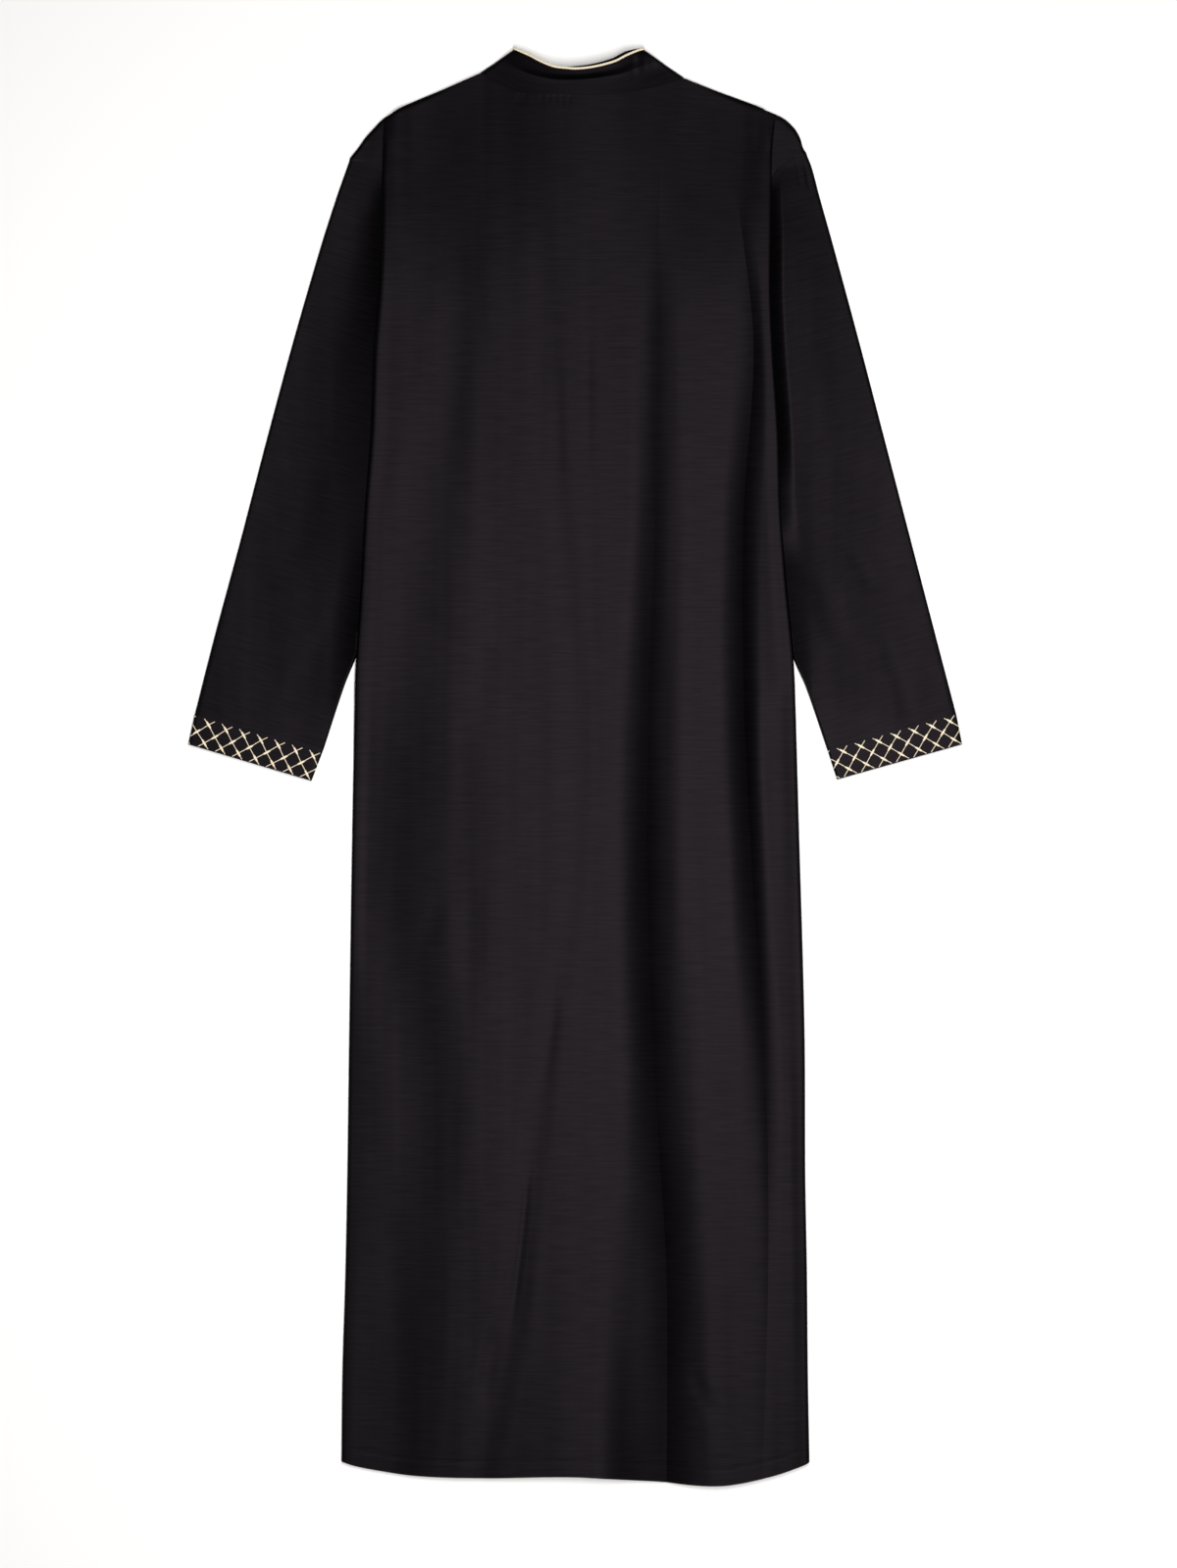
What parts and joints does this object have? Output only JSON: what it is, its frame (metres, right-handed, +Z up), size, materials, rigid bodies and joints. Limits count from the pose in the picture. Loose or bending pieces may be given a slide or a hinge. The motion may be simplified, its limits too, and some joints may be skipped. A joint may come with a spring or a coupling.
{
  "type": "long-sleeved qamis laid flat",
  "caption": "Ankle-length black qamis laid flat with its back up: long sleeves with embroidered cuff bands, stand collar edged with a cord.",
  "frame": {"origin": "on the surface the garment lies on, under the middle of its outline", "axes": "+Y from the hem to the collar, +Z up from the surface, +X to the right seen from above"},
  "size_m": [0.79, 1.4652, 0.0256],
  "materials": {
    "cloth": "matte woven suiting, near black",
    "cuff_cloth": "interfaced band of the same cloth under gold embroidery",
    "collar_cloth": "interfaced band of the same cloth",
    "gold_thread": "satin twisted cord, pale gold"
  },
  "bodies": {
    "root": {"back_panel": "cloth", "front_panel": "cloth", "front_placket": "cloth", "sleeve_left": "cloth", "sleeve_right": "cloth", "cuff_left": "cuff_cloth", "cuff_right": "cuff_cloth", "collar": "collar_cloth", "collar_piping": "gold_thread"}
  },
  "joints": []
}
